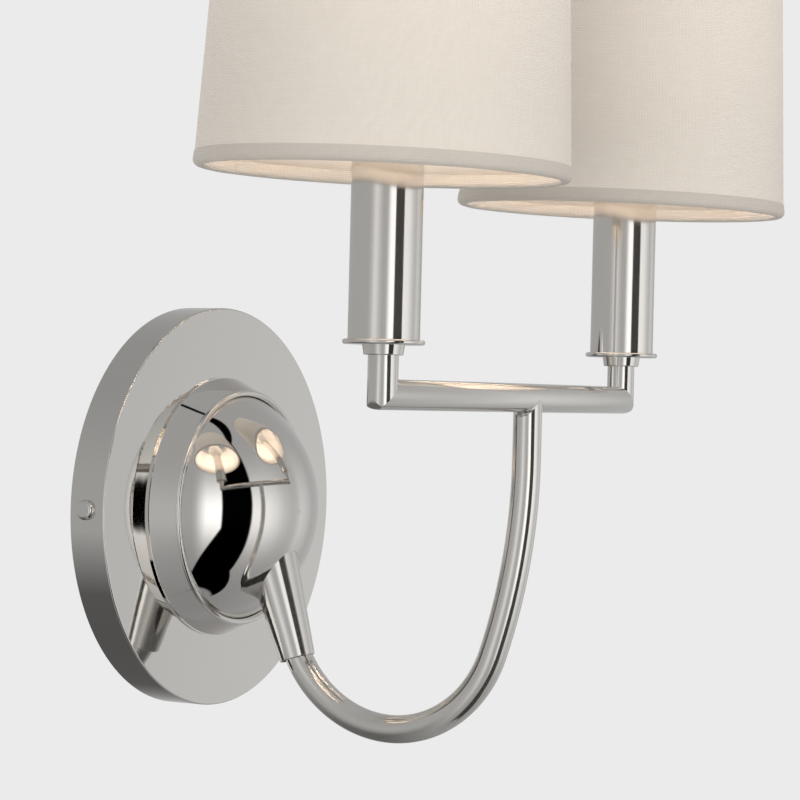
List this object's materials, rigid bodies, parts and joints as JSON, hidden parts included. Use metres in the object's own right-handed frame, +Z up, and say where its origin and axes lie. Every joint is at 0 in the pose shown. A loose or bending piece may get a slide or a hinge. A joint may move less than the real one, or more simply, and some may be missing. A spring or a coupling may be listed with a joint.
{
  "type": "double arm wall sconce",
  "caption": "Polished nickel wall sconce: round canopy with a domed boss, a J-shaped arm rising to a crossbar, candle sleeves and tapered drum shades in linen.",
  "frame": {"origin": "on the wall, at the centre of the backplate's rear rim and of the two slots in the mounting strap", "axes": "+X to the right along the wall as seen from the room, +Y into the wall, +Z up; the light stands out towards -Y"},
  "size_m": [0.2808, 0.1834, 0.3001],
  "materials": {
    "polished_nickel": "polished nickel plate",
    "zinc_steel": "zinc-plated",
    "green_screw": "green-dyed screw",
    "linen": "plain-weave linen on a stiff white backing",
    "wire_white": "white powder coat",
    "bulb_glass": "frosted",
    "brass": "bright",
    "holder_plastic": "moulded, pale",
    "lead_insulation": "soft insulation, pale",
    "connector_plastic": "moulded, orange"
  },
  "bodies": {
    "fixture": {"backplate": "polished_nickel", "collar": "polished_nickel", "dome": "polished_nickel", "ferrule": "polished_nickel", "arm": "polished_nickel", "crossbar": "polished_nickel", "left_elbow": "polished_nickel", "right_elbow": "polished_nickel", "arm_nut": "zinc_steel", "rim_screws": "polished_nickel", "mounting_strap": "zinc_steel", "ground_screw": "green_screw", "left_lead": "lead_insulation", "right_lead": "lead_insulation", "wire_connectors": "connector_plastic", "left_coupling": "polished_nickel", "left_flange": "polished_nickel", "left_sleeve": "polished_nickel", "left_nipple": "zinc_steel", "left_nuts": "zinc_steel", "left_socket_leg": "zinc_steel", "left_socket": "holder_plastic", "left_screw_shell": "brass", "right_coupling": "polished_nickel", "right_flange": "polished_nickel", "right_sleeve": "polished_nickel", "right_nipple": "zinc_steel", "right_nuts": "zinc_steel", "right_socket_leg": "zinc_steel", "right_socket": "holder_plastic", "right_screw_shell": "brass"},
    "left_light": {"left_bulb_base": "brass", "left_bulb": "bulb_glass"},
    "left_shade_set": {"left_shade": "linen", "left_shade_frame": "wire_white", "left_bulb_clip": "wire_white"},
    "right_light": {"right_bulb_base": "brass", "right_bulb": "bulb_glass"},
    "right_shade_set": {"right_shade": "linen", "right_shade_frame": "wire_white", "right_bulb_clip": "wire_white"}
  },
  "joints": [
    {"name": "left_bulb_unscrew", "type": "hinge", "parent": "fixture", "child": "left_light", "pos_m": [-0.0825, -0.1273, 0.12], "axis": [0, 0, 1], "range_deg": [0, 1080]},
    {"name": "left_shade_lift", "type": "slide", "parent": "left_light", "child": "left_shade_set", "axis": [0, 0, 1], "range_m": [0, 0.12]},
    {"name": "right_bulb_unscrew", "type": "hinge", "parent": "fixture", "child": "right_light", "pos_m": [0.0825, -0.1273, 0.12], "axis": [0, 0, 1], "range_deg": [0, 1080]},
    {"name": "right_shade_lift", "type": "slide", "parent": "right_light", "child": "right_shade_set", "axis": [0, 0, 1], "range_m": [0, 0.12]}
  ]
}
